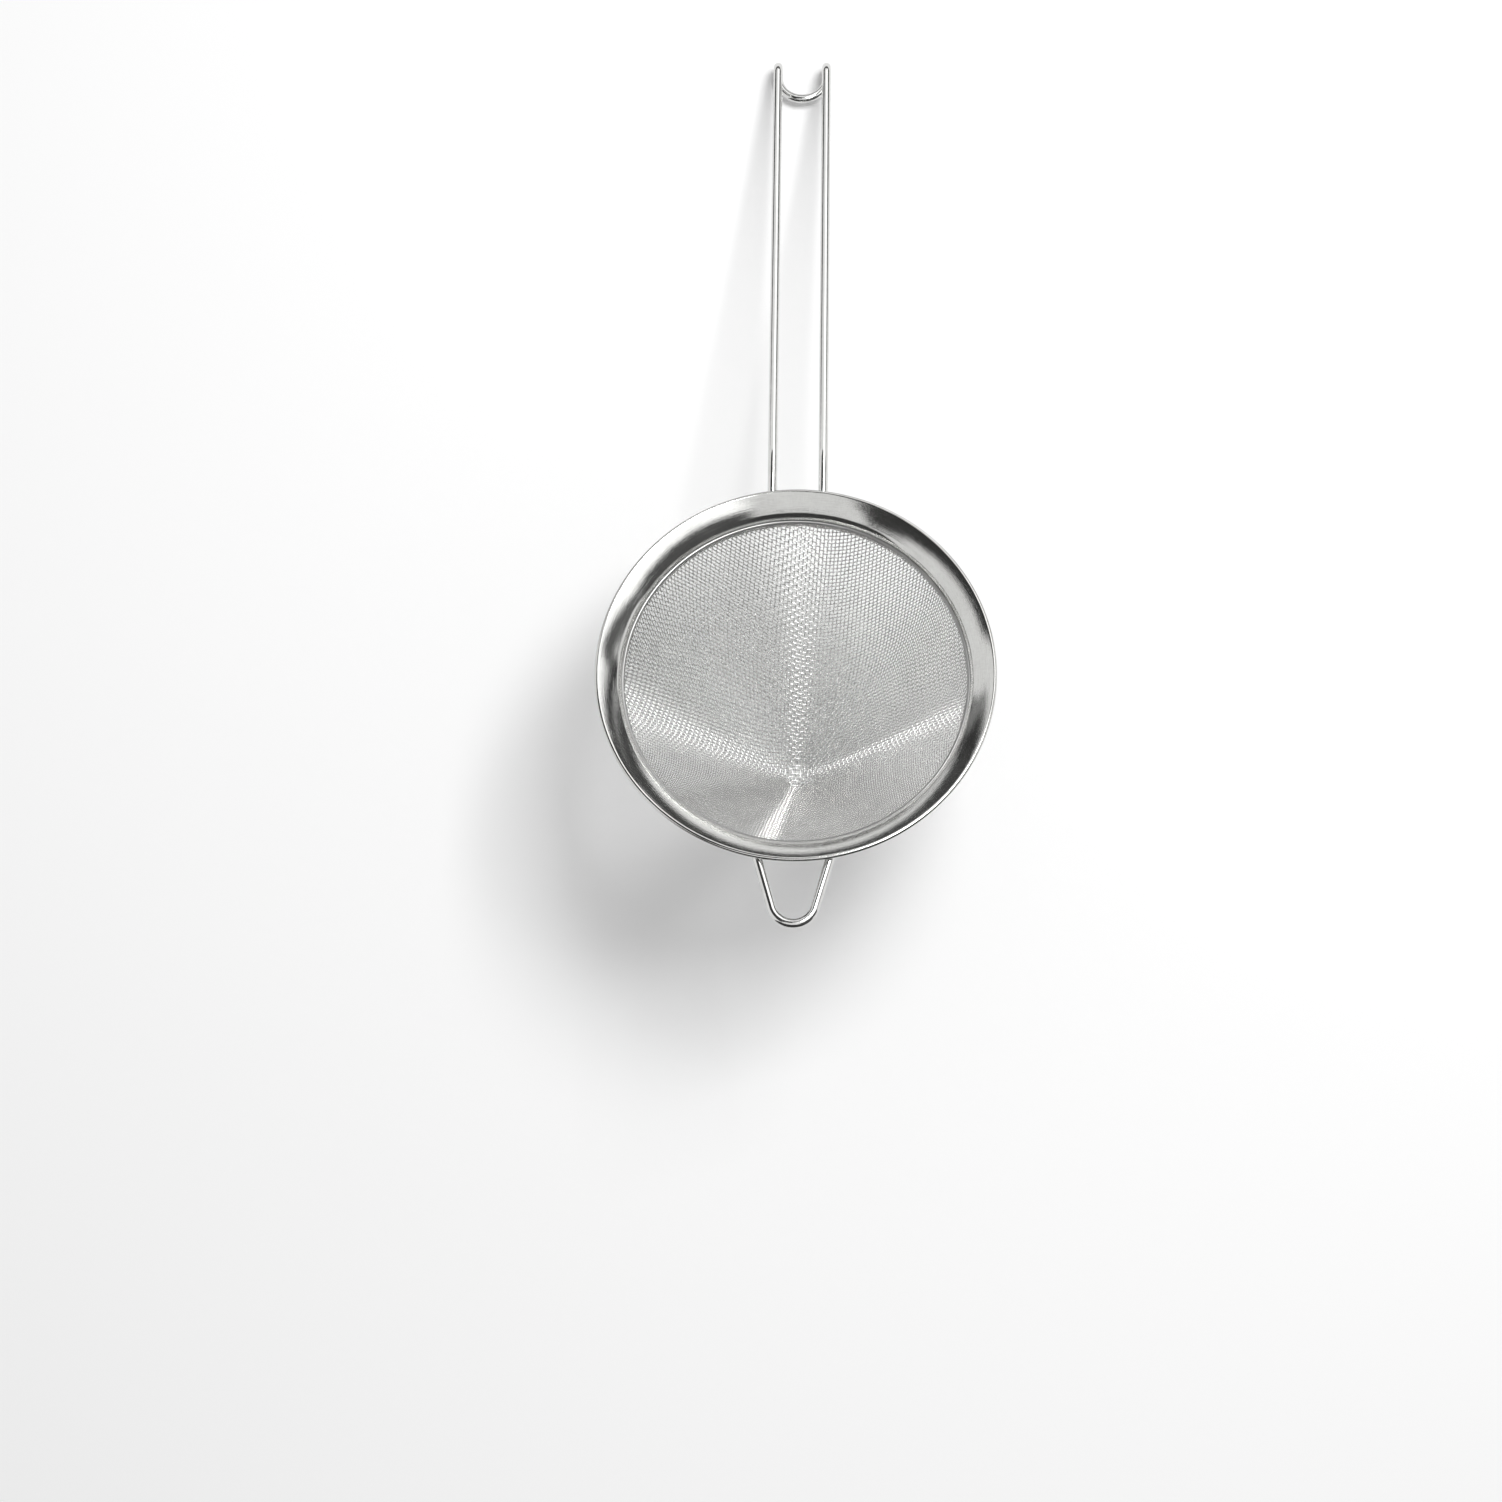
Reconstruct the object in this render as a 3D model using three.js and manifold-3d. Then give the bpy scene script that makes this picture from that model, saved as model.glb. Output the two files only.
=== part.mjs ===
// Conical strainer: a woven wire cone in a rolled steel rim, with a wire handle and a wire rest loop.
// Millimetres, +Z up. The rim's crest lies in z = 0 and the cone hangs below it on the Z axis.
// The handle runs out along +Y and the rest loop along -Y.

import * as THREE from "three";
import { mergeVertices } from "three/addons/utils/BufferGeometryUtils.js";
import Module from "manifold-3d";

// Rim ring: one sheet, rolled outwards into a bead at the crest
const RIM_DIAMETER = 160;
const BEAD_DIAMETER = 2.2;
const SHEET = 0.5;
const CURL_TURNS = 8; // steps of CURL_STEP round the bead, past its flat crest
const CURL_STEP = THREE.MathUtils.degToRad(30);

// Where the cloth is held: inside the rim's edge and below the crest
const SEAT_INSET = 9.4;
const SEAT_DROP = 9.9;
const SEAT_WIDTH = 4; // width of the cloth's edge that is caught
const SKIRT_BELOW_SEAT = 0.6; // how far the skirt reaches past the caught edge
const LIP_INSET = 1; // how far in from the cloth the flange ends, just above the clamp ring

// Mesh cone
const CONE_DEPTH = 117.7;
const TIP_RADIUS = 8;
const NET_PITCH = 12.5; // an open net stands for the fine cloth
const STRAND_WIDTH = 1.1;
const STRAND_THICKNESS = 0.7;
const EDGE_THICKNESS = 0.8;
const WEAVE_TURN = THREE.MathUtils.degToRad(-8); // the weave's turn from the handle's direction
const WEAVE_GATHER = 0.4; // how much the drawn cloth crowds together between its four straight rays
const GATHER_REACH = 72; // distance from the tip over which that crowding grows to its full share

// Clamp ring
const CLAMP_WIRE = 1.7;

// Handle
const HANDLE_WIRE = 3.8;
const HANDLE_SPACING = 20.6; // between the centres of the two legs
const HANDLE_REACH = 203.7; // from the rim's edge to the end of the hook
const HANDLE_RISE = THREE.MathUtils.degToRad(7.5); // climb from under the bead to the straight run
const HANDLE_KNEE = 24; // bend radius where the climb meets the straight run
const HOOK_RADIUS = 5;
const HOOK_RETURN = 6.7; // straight part of the wire after the hook's bend

// Rest loop
const LOOP_WIRE = 3.8;
const LOOP_REACH = 26.2; // from the rim's edge to the loop's far side
const LOOP_NOSE_RADIUS = 8.7;
const LOOP_FLARE = THREE.MathUtils.degToRad(16); // how each side leans away from the middle

// Wires under the rim
const WELD_LENGTH = 4.5; // straight end that lies along the flange, down to the skirt's step
const WIRE_BEND = 6; // bend radius where a wire comes out from under the bead

// Fits and facets
const CLEARANCE = 0.3;
const RING_SEGMENTS = 60;
const FLANGE_STEPS = 4;
const HOOP_SIDES = 8;
const WIRE_SIDES = 10;
const BEND_STEP = THREE.MathUtils.degToRad(18);
const NOSE_STEPS = 9; // over each half of the round end of a wire loop
const SHORTEST_STEP = 1; // stops of a wire closer than this to its round end are left out
const SLOPE_PASSES = 20; // rounds in which the flange's slope at the bead settles

const STEEL = 0xc9cbc8;
const CLOTH_STEEL = 0xb4b6b3;

const wasm = await Module();
wasm.setup();

// The cone's line in (r, z): through the seat, tangent to the round tip

const rimRadius = RIM_DIAMETER / 2;
const seat = new THREE.Vector2(rimRadius - SEAT_INSET, -SEAT_DROP);
const tipHeight = CONE_DEPTH - TIP_RADIUS - SEAT_DROP; // from the seat down to the tip's centre
const halfAngle = Math.acos(TIP_RADIUS / Math.hypot(seat.x, tipHeight)) - Math.atan2(tipHeight, seat.x);
const downCone = new THREE.Vector2(-Math.sin(halfAngle), -Math.cos(halfAngle));
const inward = new THREE.Vector2(-Math.cos(halfAngle), Math.sin(halfAngle));

// A point given by its distance down the cone from the seat and its distance in from the cloth
function bySeat(down, into) {
  return seat.clone().addScaledVector(downCone, down).addScaledVector(inward, into);
}

// Rim ring

const beadRadius = BEAD_DIAMETER / 2;
const bead = new THREE.Vector2(rimRadius - beadRadius, -beadRadius * Math.cos(CURL_STEP / 2));
const hoopRadius = CLAMP_WIRE / 2;
const clothTop = -hoopRadius; // the caught edge, by its distance down the cone from the seat
const clothEnd = clothTop + SEAT_WIDTH;
const stepUnder = clothTop - CLEARANCE; // here the sheet steps out, over the ring and round the cloth
const stepOver = stepUnder - SHEET;
const skirtInset = -(EDGE_THICKNESS / 2 + CLEARANCE);
const skirtEnd = clothEnd + SKIRT_BELOW_SEAT;
const lip = bySeat(stepOver, LIP_INSET);
const lipSlope = Math.PI / 2 - halfAngle;

const facing = (slope) => new THREE.Vector2(-Math.sin(slope), Math.cos(slope));
const along = (slope) => new THREE.Vector2(Math.cos(slope), Math.sin(slope));

// The flange is an arc that leaves its lip on the cone's slope and meets the bead as a tangent
function flangeSlopeAtBead() {
  let slope = lipSlope;
  for (let pass = 0; pass < SLOPE_PASSES; pass++) {
    const touch = bead.clone().addScaledVector(facing(slope), beadRadius);
    slope = 2 * touch.sub(lip).angle() - lipSlope;
  }
  return slope;
}

const beadSlope = flangeSlopeAtBead();
const flangeTop = bead.clone().addScaledVector(facing(beadSlope), beadRadius);
const flangeTurn = lipSlope - beadSlope;
const flangeChord = flangeTop.distanceTo(lip);
const flangeRadius = flangeChord / (2 * Math.sin(flangeTurn / 2));

// A point of the flange's upper face and its slope, from 0 at the lip to 1 at the bead
function onFlange(share) {
  const slope = lipSlope - flangeTurn * share;
  const arcCentre = lip.clone().addScaledVector(facing(lipSlope), -flangeRadius);
  return { slope, point: arcCentre.addScaledVector(facing(slope), flangeRadius) };
}

function ringGeometry(profile) {
  const closed = [...profile, profile[0]];
  return new THREE.LatheGeometry(closed, RING_SEGMENTS).rotateX(Math.PI / 2);
}

function rimGeometry() {
  const upper = [
    bySeat(skirtEnd, skirtInset),
    bySeat(stepUnder, skirtInset),
    bySeat(stepUnder, LIP_INSET),
  ];
  const lower = [
    bySeat(skirtEnd, skirtInset - SHEET),
    bySeat(stepOver, skirtInset - SHEET),
  ];
  for (let k = 0; k <= FLANGE_STEPS; k++) {
    const { slope, point } = onFlange(k / FLANGE_STEPS);
    upper.push(point);
    lower.push(point.clone().addScaledVector(facing(slope), -SHEET));
  }
  for (let k = 0; k <= CURL_TURNS; k++) {
    const out = along(Math.PI / 2 + CURL_STEP / 2 - k * CURL_STEP);
    upper.push(bead.clone().addScaledVector(out, beadRadius));
    lower.push(bead.clone().addScaledVector(out, beadRadius - SHEET));
  }
  return ringGeometry([...lower, ...upper.reverse()]);
}

// Clamp ring

function clampGeometry() {
  const centre = bySeat(0, EDGE_THICKNESS / 2 + CLEARANCE + hoopRadius);
  const profile = [];
  for (let k = 0; k < HOOP_SIDES; k++) {
    profile.push(centre.clone().addScaledVector(along((k * 2 * Math.PI) / HOOP_SIDES), hoopRadius));
  }
  return ringGeometry(profile);
}

// Mesh cone: a square net laid on the cone, as drawn cloth lies

const tipArc = TIP_RADIUS * (Math.PI / 2 - halfAngle);
const tipCentre = new THREE.Vector2(0, TIP_RADIUS - CONE_DEPTH);
const tipRim = tipCentre.clone().addScaledVector(inward, -TIP_RADIUS);
const edgeSlant = tipArc + tipRim.distanceTo(seat);

// Wires keep their length, so where the cloth crowds sideways it grows along the slant
const crowded = (1 - WEAVE_GATHER) * Math.sin(halfAngle);
const weaveStretch = Math.sqrt(2 - crowded * crowded) - 1;

// The polar place on the cone of a point of the flat cloth
function clothPlace(a, b) {
  const reach = Math.hypot(a, b);
  const angle = Math.atan2(b, a);
  const drawn = THREE.MathUtils.smoothstep(reach, 0, GATHER_REACH);
  return {
    turn: angle + WEAVE_TURN + (drawn * WEAVE_GATHER * Math.sin(4 * angle)) / 4,
    slant: reach * (1 + drawn * weaveStretch * Math.sin(2 * angle) ** 2),
  };
}

// The point at a polar place on the cone, moved inwards from the cloth by a given distance
function onCone({ turn, slant }, into) {
  const point = new THREE.Vector2();
  const normal = inward.clone();
  if (slant < tipArc) {
    const tilt = slant / TIP_RADIUS;
    normal.set(-Math.sin(tilt), Math.cos(tilt));
    point.copy(tipCentre).addScaledVector(normal, -TIP_RADIUS);
  } else {
    point.copy(tipRim).addScaledVector(downCone, tipArc - slant);
  }
  point.addScaledVector(normal, into);
  return [point.x * Math.cos(turn), point.x * Math.sin(turn), point.y];
}

function netGeometry() {
  const corners = [[-1, -1], [1, -1], [1, 1], [-1, 1]];
  const steps = [[0, -1], [1, 0], [0, 1], [-1, 0]]; // the neighbour past each side of a crossing
  const positions = [];
  const triangles = [];
  const crossings = new Map();
  const slantLimit = edgeSlant + NET_PITCH;
  const most = Math.ceil(slantLimit / NET_PITCH);
  for (let i = -most; i <= most; i++) {
    for (let j = -most; j <= most; j++) {
      if (clothPlace(i * NET_PITCH, j * NET_PITCH).slant > slantLimit) continue;
      crossings.set(`${i},${j}`, { i, j, first: positions.length / 3 });
      for (const into of [STRAND_THICKNESS / 2, -STRAND_THICKNESS / 2]) {
        for (const [u, v] of corners) {
          const a = i * NET_PITCH + (u * STRAND_WIDTH) / 2;
          const b = j * NET_PITCH + (v * STRAND_WIDTH) / 2;
          positions.push(...onCone(clothPlace(a, b), into));
        }
      }
    }
  }
  const quad = (a, b, c, d) => triangles.push(a, b, c, a, c, d);
  for (const { i, j, first } of crossings.values()) {
    quad(first, first + 1, first + 2, first + 3);
    quad(first + 7, first + 6, first + 5, first + 4);
    steps.forEach(([di, dj], side) => {
      const p = first + side;
      const q = first + ((side + 1) % 4);
      const next = crossings.get(`${i + di},${j + dj}`);
      if (!next) {
        quad(p + 4, q + 4, q, p);
      } else if (side === 1 || side === 2) {
        const r = next.first + ((side + 2) % 4);
        const s = next.first + ((side + 3) % 4);
        quad(p, s, r, q);
        quad(p + 4, q + 4, r + 4, s + 4);
        quad(p + 4, s + 4, s, p);
        quad(r + 4, q + 4, q, r);
      }
    });
  }
  const net = new THREE.BufferGeometry();
  net.setAttribute("position", new THREE.Float32BufferAttribute(positions, 3));
  return net.setIndex(triangles);
}

function solidOf(geometry) {
  const bare = geometry.clone();
  bare.deleteAttribute("normal");
  bare.deleteAttribute("uv");
  const merged = mergeVertices(bare);
  const triVerts = new Uint32Array(merged.index.array);
  const vertProperties = merged.attributes.position.array;
  return new wasm.Manifold(new wasm.Mesh({ numProp: 3, vertProperties, triVerts }));
}

function geometryOf(solid) {
  const { vertProperties, triVerts } = solid.getMesh();
  const geometry = new THREE.BufferGeometry();
  geometry.setAttribute("position", new THREE.Float32BufferAttribute(vertProperties, 3));
  return geometry.setIndex(new THREE.BufferAttribute(triVerts, 1));
}

// The net is cut off level within its caught edge, and the edge itself is a plain band
function meshConeGeometry() {
  const half = EDGE_THICKNESS / 2;
  const outline = [[clothEnd, -half], [clothTop, -half], [clothTop, half], [clothEnd, half]];
  const band = ringGeometry(outline.map(([down, into]) => bySeat(down, into)));
  const cutHeight = bySeat(clothTop / 2, 0).y;
  const keepRadius = RIM_DIAMETER;
  const keepDepth = 2 * CONE_DEPTH;
  const keep = new THREE.CylinderGeometry(keepRadius, keepRadius, keepDepth, RING_SEGMENTS);
  keep.rotateX(Math.PI / 2).translate(0, 0, cutHeight - keepDepth / 2);
  return geometryOf(solidOf(netGeometry()).intersect(solidOf(keep)).add(solidOf(band)));
}

// Wire loops: a loop drawn flat, then bent along its length to a profile in (y, z)

const straight = (length) => ({ length, turn: 0 });
const bend = (radius, turn) => ({ length: radius * Math.abs(turn), turn });

// A profile made of straight runs and bends, read by the distance along it
function bentProfile(start, heading, moves) {
  const pieces = [];
  const stops = [0];
  let from = 0;
  let slope = heading;
  let point = start;
  const follow = (piece, distance) => {
    const ends = piece.slope + (piece.turn * distance) / piece.length;
    if (piece.turn === 0) return piece.point.clone().addScaledVector(along(piece.slope), distance);
    const radius = piece.length / piece.turn;
    const centre = piece.point.clone().addScaledVector(facing(piece.slope), radius);
    return centre.addScaledVector(facing(ends), -radius);
  };
  for (const { length, turn } of moves) {
    const piece = { from, slope, point, length, turn };
    pieces.push(piece);
    const parts = Math.max(1, Math.ceil(Math.abs(turn) / BEND_STEP));
    for (let k = 1; k <= parts; k++) stops.push(from + (length * k) / parts);
    point = follow(piece, length);
    slope += turn;
    from += length;
  }
  const at = (distance) => {
    const piece = pieces.findLast((one) => one.from <= distance) ?? pieces[0];
    return follow(piece, distance - piece.from);
  };
  return { at, stops, length: from };
}

// A path through given points, with the tangent at each halfway between the runs that meet there
class WirePath extends THREE.Curve {
  constructor(points) {
    super();
    this.points = points;
  }
  getUtoTmapping(u) {
    return u;
  }
  getPoint(t, target = new THREE.Vector3()) {
    const place = t * (this.points.length - 1);
    const before = Math.min(Math.floor(place), this.points.length - 2);
    return target.lerpVectors(this.points[before], this.points[before + 1], place - before);
  }
  getTangent(t, target = new THREE.Vector3()) {
    const last = this.points.length - 1;
    const here = Math.round(t * last);
    const run = new THREE.Vector3();
    target.set(0, 0, 0);
    if (here > 0) target.add(run.subVectors(this.points[here], this.points[here - 1]).normalize());
    if (here < last) target.add(run.subVectors(this.points[here + 1], this.points[here]).normalize());
    return target.normalize();
  }
}

// The loop's sides follow the profile's own stops. Its round end has even steps, whatever bends there
function wireLoopGeometry(wire, profile, noseStart, halfWidthAt) {
  const noseLength = profile.length - noseStart;
  const nose = [];
  for (let k = 0; k < NOSE_STEPS; k++) {
    nose.push(noseStart + noseLength * Math.sin((k * Math.PI) / (2 * NOSE_STEPS)));
  }
  const sides = profile.stops.filter((stop) => stop < noseStart - SHORTEST_STEP);
  const side = (sign) => (distance) => {
    const { x: y, y: z } = profile.at(distance);
    return new THREE.Vector3(sign * halfWidthAt(distance), y, z);
  };
  const run = [...sides, ...nose];
  const end = profile.at(profile.length);
  const middle = new THREE.Vector3(0, end.x, end.y);
  const points = [...run.map(side(-1)), middle, ...run.toReversed().map(side(1))];
  const section = [];
  for (let k = 0; k < WIRE_SIDES; k++) {
    section.push(along((k * 2 * Math.PI) / WIRE_SIDES).multiplyScalar(wire / 2));
  }
  return new THREE.ExtrudeGeometry(new THREE.Shape(section), {
    steps: points.length - 1,
    extrudePath: new WirePath(points),
  });
}

// The start of a wire welded along the flange's underside, which then bends out from under the bead.
// The wire stands off the rim's middle line, where the round rim lies a little further in.
function underRim(wire, offset, leave) {
  const { slope, point } = onFlange(0.5);
  const bulge = flangeRadius * (1 - Math.cos(flangeTurn / 2));
  const below = SHEET + CLEARANCE + wire / 2 + bulge + WIRE_BEND;
  const reach = beadRadius + CLEARANCE + wire / 2 + WIRE_BEND;
  const centre = point.clone().addScaledVector(facing(slope), -below);
  const toBead = bead.clone().sub(centre);
  const up = toBead.dot(along(slope));
  centre.addScaledVector(along(slope), up - Math.sqrt(up * up + reach * reach - toBead.lengthSq()));
  centre.x += Math.sqrt(bead.x * bead.x - offset * offset) - bead.x;
  const start = centre.clone().addScaledVector(facing(slope), WIRE_BEND);
  start.addScaledVector(along(slope), -WELD_LENGTH);
  return {
    start,
    slope,
    moves: [straight(WELD_LENGTH), bend(WIRE_BEND, leave - slope)],
    end: centre.addScaledVector(facing(leave), WIRE_BEND),
  };
}

function handleGeometry() {
  const half = HANDLE_SPACING / 2;
  const rim = underRim(HANDLE_WIRE, half, HANDLE_RISE);
  const kneeCut = HANDLE_KNEE * Math.tan(HANDLE_RISE / 2);
  const climb = (-HANDLE_WIRE / 2 - rim.end.y) / Math.sin(HANDLE_RISE); // up to level with the crest
  const kneeAt = rim.end.x + climb * Math.cos(HANDLE_RISE);
  const hookAt = rimRadius + HANDLE_REACH - HOOK_RADIUS - HANDLE_WIRE / 2;
  const profile = bentProfile(rim.start, rim.slope, [
    ...rim.moves,
    straight(climb - kneeCut),
    bend(HANDLE_KNEE, -HANDLE_RISE),
    straight(hookAt - kneeAt - kneeCut),
    bend(HOOK_RADIUS, -Math.PI),
    straight(HOOK_RETURN),
  ]);
  const noseStart = profile.length - half;
  const halfWidthAt = (distance) => Math.sqrt(half ** 2 - Math.max(0, distance - noseStart) ** 2);
  return wireLoopGeometry(HANDLE_WIRE, profile, noseStart, halfWidthAt);
}

function loopGeometry() {
  const lean = Math.tan(LOOP_FLARE);
  const noseCentre = rimRadius + LOOP_REACH - LOOP_WIRE / 2 - LOOP_NOSE_RADIUS;
  const noseTop = noseCentre + LOOP_NOSE_RADIUS * Math.sin(LOOP_FLARE);
  const noseHalf = LOOP_NOSE_RADIUS * Math.cos(LOOP_FLARE);
  const halfAtBead = noseHalf + (noseTop - bead.x) * lean;
  const rim = underRim(LOOP_WIRE, halfAtBead, 0);
  const profile = bentProfile(rim.start, rim.slope, [
    ...rim.moves,
    straight(noseCentre + LOOP_NOSE_RADIUS - rim.end.x),
  ]);
  const centreAt = profile.length - LOOP_NOSE_RADIUS;
  const noseStart = centreAt + LOOP_NOSE_RADIUS * Math.sin(LOOP_FLARE);
  const halfWidthAt = (distance) =>
    distance < noseStart
      ? noseHalf + (noseStart - distance) * lean
      : Math.sqrt(Math.max(0, LOOP_NOSE_RADIUS ** 2 - (distance - centreAt) ** 2));
  return wireLoopGeometry(LOOP_WIRE, profile, noseStart, halfWidthAt);
}

// The assembly

function piece(name, geometry, color, roughness) {
  const material = new THREE.MeshStandardMaterial({ color, roughness, metalness: 1 });
  const mesh = new THREE.Mesh(geometry, material);
  mesh.name = name;
  return mesh;
}

const strainer = new THREE.Group();
strainer.add(piece("rim_ring", rimGeometry(), STEEL, 0.15));
strainer.add(piece("clamp_ring", clampGeometry(), STEEL, 0.2));
strainer.add(piece("mesh_cone", meshConeGeometry(), CLOTH_STEEL, 0.35));
strainer.add(piece("handle", handleGeometry(), STEEL, 0.1));
const restLoop = piece("rest_loop", loopGeometry(), STEEL, 0.1);
restLoop.rotation.z = Math.PI; // drawn along +Y like the handle, then turned to the far side
strainer.add(restLoop);

export default strainer;
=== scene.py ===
import math

import bmesh
import bpy
import numpy as np
from mathutils import Matrix, Quaternion, Vector


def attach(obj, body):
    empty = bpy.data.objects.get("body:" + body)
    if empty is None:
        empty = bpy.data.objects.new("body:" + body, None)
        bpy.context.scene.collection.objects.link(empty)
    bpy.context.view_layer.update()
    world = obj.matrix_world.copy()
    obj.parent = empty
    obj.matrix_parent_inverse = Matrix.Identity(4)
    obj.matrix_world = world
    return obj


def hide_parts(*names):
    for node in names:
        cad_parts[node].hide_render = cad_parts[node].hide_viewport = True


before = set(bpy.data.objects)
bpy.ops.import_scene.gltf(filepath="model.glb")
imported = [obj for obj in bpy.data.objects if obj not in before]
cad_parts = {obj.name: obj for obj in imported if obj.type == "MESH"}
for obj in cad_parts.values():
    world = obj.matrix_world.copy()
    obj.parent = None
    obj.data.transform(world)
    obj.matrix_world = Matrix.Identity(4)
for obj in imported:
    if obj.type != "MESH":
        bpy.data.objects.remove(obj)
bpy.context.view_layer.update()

# Conical strainer: the woven cone, the rolled rim, the clamp ring and the two bent wires, in their real
# finish. Sizes are in millimetres, as in the solids, and a mesh takes them to metres.
MM = 0.001

# Rim ring: one sheet, rolled outwards into a bead at the crest
RIM_DIAMETER = 160
BEAD_DIAMETER = 2.2
SHEET = 0.5
EDGE_ROUNDING = 0.45  # radius of the sheet's edges, as a share of its thickness
LIP_HEIGHT = 0.3  # the flange's straight end, above the clamp ring
LIP_BEND = 6
LIP_TURN = math.radians(21)
FLANGE_TURN = math.radians(9)  # how much the flange curves before it meets the bead
FLANGE_CURVED = 7  # length of that curve
CURL_TOP = math.radians(15)
CURL_END = math.radians(-135)
SHARP_EDGE = math.radians(40)

# Where the cloth is held: inside the rim's edge and below the crest
SEAT_INSET = 9.4
SEAT_DROP = 9.9
SEAT_WIDTH = 4  # width of the cloth's edge that is caught
SKIRT_BELOW_SEAT = 0.6
STEP_INSET = 2.0  # how far in from the cloth the sheet's step reaches
LIP_INSET = 2.46  # how far in from the cloth the flange ends
LIP_RISE = 0.83  # and how far above the step
EDGE_THICKNESS = 0.8
CLEARANCE = 0.3

# Mesh cone: a plain weave, somewhat coarser than the real cloth
CONE_DEPTH = 117.7
TIP_RADIUS = 8
WEAVE_PITCH = 1.8
WEAVE_WIRE = 0.56
WEAVE_LIFT = 0.14  # keeps the outside of the cloth on the cone
WEAVE_TURN = math.radians(-3.5)  # the weave's turn from the handle's direction
WEAVE_GATHER = 0.4  # how much the drawn cloth crowds together between its four straight rays
WEAVE_LEAN = math.radians(4)  # how far warp and weft are from square
WEAVE_SAG = math.radians(-12.5)  # how far the side wires were drawn towards the near side
WEAVE_SETTLES = 24  # distance from the tip at which lean and sag are whole
GATHER_REACH = 72  # distance from the tip over which that crowding grows
WEAVE_SIDES = 6
WEAVE_LEAST = 3  # points of the shortest wire that is kept
WEAVE_PARTS = (-1.1, -0.38, 0, 0.38, 1.1)  # where the cloth is parted, in shares of its half width

# Clamp ring
CLAMP_WIRE = 1.7

# Handle
HANDLE_WIRE = 3.8
HANDLE_SPACING = 20.6  # between the centres of the two legs
HANDLE_REACH = 203.6  # from the rim's edge to the end of the hook
HANDLE_RISE = math.radians(7.5)  # climb from under the bead to the straight run
HANDLE_KNEE = 24  # bend radius where the climb meets the straight run
HOOK_RADIUS = 5
HOOK_RETURN = 6.7  # straight part of the wire after the hook's bend

# Rest loop
LOOP_WIRE = 3.8
LOOP_REACH = 26.15  # from the rim's edge to the loop's far side
LOOP_NOSE_RADIUS = 8.7
LOOP_FLARE = math.radians(16)  # how each side leans away from the middle

# Wires under the rim, and their welds
WELD_LENGTH = 4.5  # straight end that lies along the flange
WIRE_BEND = 6  # bend radius where a wire comes out from under the bead
WELD_SIZE = (2.6, 1.9, 0.75)  # half length, half width and half height
WELD_PLACE = 0.55  # where on the welded end its middle lies
WELD_STANDS = 0.05  # its middle's height above the wire
WELD_RIPPLES = 9
RIPPLE_DEPTH = 0.07

# Fineness of the meshes
RING_STEPS = 360
FLANGE_STEPS = 36
BEAD_STEPS = 36
HOOP_SIDES = 24
WIRE_SIDES = 28
BEND_STEP = math.radians(4)
NOSE_STEPS = 36
CORNER_STEPS = 5
SLOPE_PASSES = 60  # rounds in which the flange's slope at the bead settles
END_RINGS = (0.5, 0.8, 0.97)  # stops on a wire's rounded end
END_BULGE = 0.3  # how far that end stands out, as a share of the wire's radius
SHORTEST_STEP = 0.2  # stops closer than this to a loop's round end are left out
WELD_ROWS = 14
WELD_SIDES = 24

# The cone's line in (r, z), and places beside it

rim_radius = RIM_DIAMETER / 2
seat = np.array([rim_radius - SEAT_INSET, -SEAT_DROP])
tip_height = CONE_DEPTH - TIP_RADIUS - SEAT_DROP
half_angle = math.acos(TIP_RADIUS / math.hypot(seat[0], tip_height)) - math.atan2(tip_height, seat[0])
down_cone = np.array([-math.sin(half_angle), -math.cos(half_angle)])
inward = np.array([-math.cos(half_angle), math.sin(half_angle)])


def by_seat(down, into):
    """A point by its distance down the cone from the seat and its distance in from the cloth."""
    return seat + down_cone * down + inward * into


def along(slope):
    """The direction of a slope."""
    return np.array([math.cos(slope), math.sin(slope)])


def facing(slope):
    """The direction square to a slope, on its left."""
    return np.array([-math.sin(slope), math.cos(slope)])


# Profiles in (r, z) or (y, z): straight runs and bends, one after the other


def straight(length):
    """A run without a turn: its length and turn."""
    return length, 0


def bend(radius, turn):
    """A round run: its length and turn."""
    return radius * abs(turn), turn


class BentProfile:
    """A profile of straight runs and bends, read by the distance along it."""

    def __init__(self, start, heading, moves):
        self.runs = []
        self.stops = [0]
        self.length = 0
        slope = heading
        point = start
        for length, turn in moves:
            run = (self.length, slope, point, length, turn)
            self.runs.append(run)
            parts = max(1, math.ceil(abs(turn) / BEND_STEP))
            self.stops += [self.length + length * k / parts for k in range(1, parts + 1)]
            point = self.follow(run, length)
            slope += turn
            self.length += length

    @staticmethod
    def follow(run, distance):
        """The point at a distance along one run."""
        _, slope, point, length, turn = run
        if turn == 0:
            return point + along(slope) * distance
        radius = length / turn
        return point + (facing(slope) - facing(slope + turn * distance / length)) * radius

    def run_at(self, distance):
        """The run that a distance along the profile falls in."""
        return [one for one in self.runs if one[0] <= distance][-1]

    def at(self, distance):
        run = self.run_at(distance)
        return self.follow(run, distance - run[0])

    def slope_at(self, distance):
        start, slope, _, length, turn = self.run_at(distance)
        return slope + turn * (distance - start) / length


# The rim's section

bead_radius = BEAD_DIAMETER / 2 * math.cos(CURL_TOP)
bead = np.array([rim_radius - BEAD_DIAMETER / 2, -bead_radius])
hoop_radius = CLAMP_WIRE / 2
cloth_top = -hoop_radius
cloth_end = cloth_top + SEAT_WIDTH
step_under = cloth_top - CLEARANCE
step_over = step_under - SHEET
skirt_inset = -(EDGE_THICKNESS / 2 + CLEARANCE)
skirt_end = cloth_end + SKIRT_BELOW_SEAT
lip = by_seat(step_over - LIP_RISE, LIP_INSET)


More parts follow.
